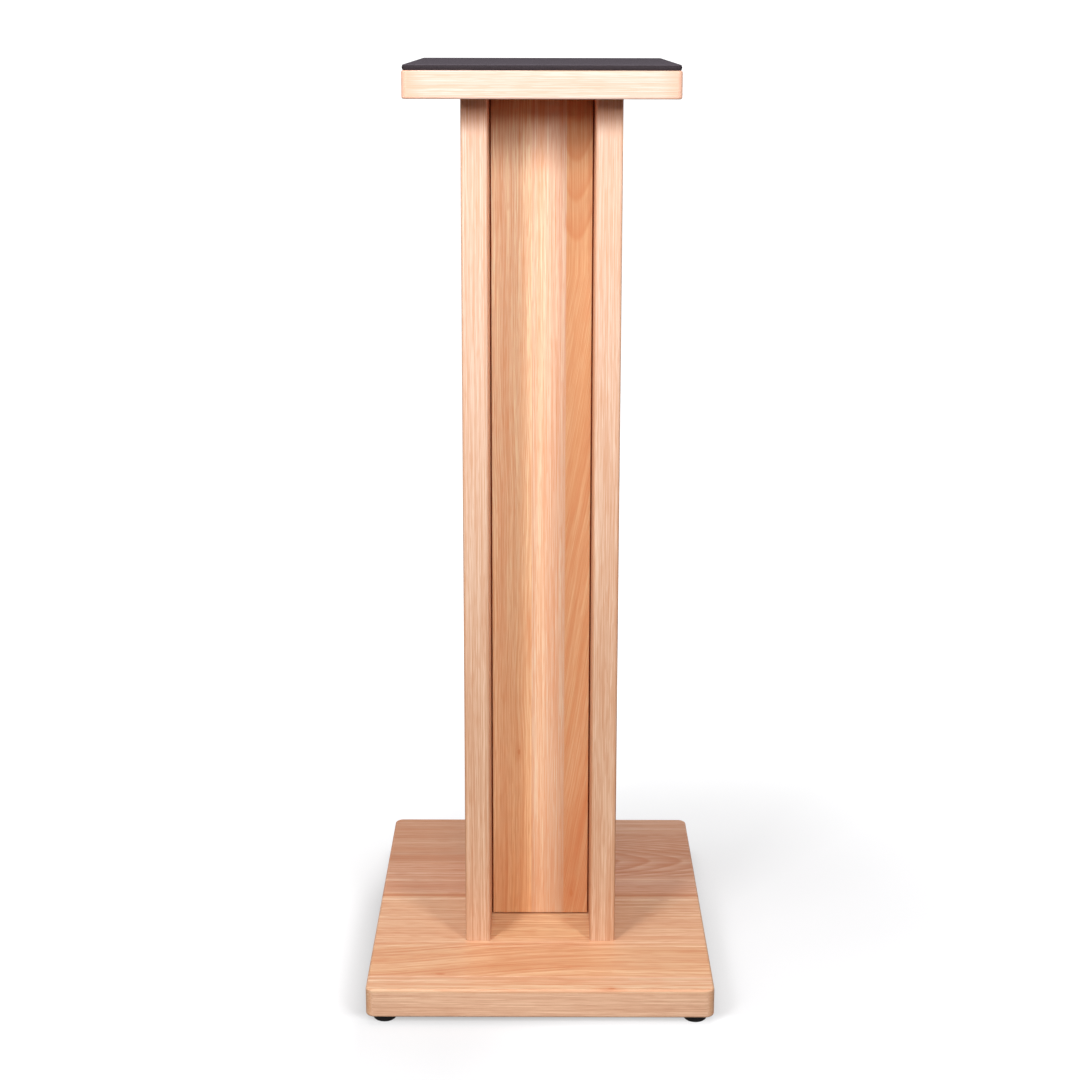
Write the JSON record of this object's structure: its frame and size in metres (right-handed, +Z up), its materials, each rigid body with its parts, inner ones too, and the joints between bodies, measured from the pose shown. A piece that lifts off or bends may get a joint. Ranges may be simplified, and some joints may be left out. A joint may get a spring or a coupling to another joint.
{
  "type": "speaker stand",
  "caption": "Wooden floor stand for one loudspeaker: wide base board, column of two uprights with recessed panels, padded top plate and short rubber feet.",
  "frame": {"origin": "on the floor, in the middle of the footprint", "axes": "+X right as seen from the front, +Y to the back, +Z up"},
  "size_m": [0.335, 0.45, 0.9],
  "materials": {
    "wood": "satin oiled, glued-up staves",
    "dowel_wood": "raw",
    "pad": "matt felt-faced pad",
    "screw_steel": "zinc plated",
    "foot_rubber": "smooth black"
  },
  "bodies": {
    "root": {"base_plate": "wood", "left_upright": "wood", "right_upright": "wood", "front_panel": "wood", "rear_panel": "wood", "top_plate": "wood", "top_pad": "pad", "base_screws": "screw_steel", "top_screws": "screw_steel", "base_dowels": "dowel_wood", "top_dowels": "dowel_wood", "front_panel_dowels": "dowel_wood", "rear_panel_dowels": "dowel_wood", "foot_screws": "screw_steel", "foot_washers": "screw_steel", "front_left_foot": "foot_rubber", "front_right_foot": "foot_rubber", "rear_left_foot": "foot_rubber", "rear_right_foot": "foot_rubber"}
  },
  "joints": []
}
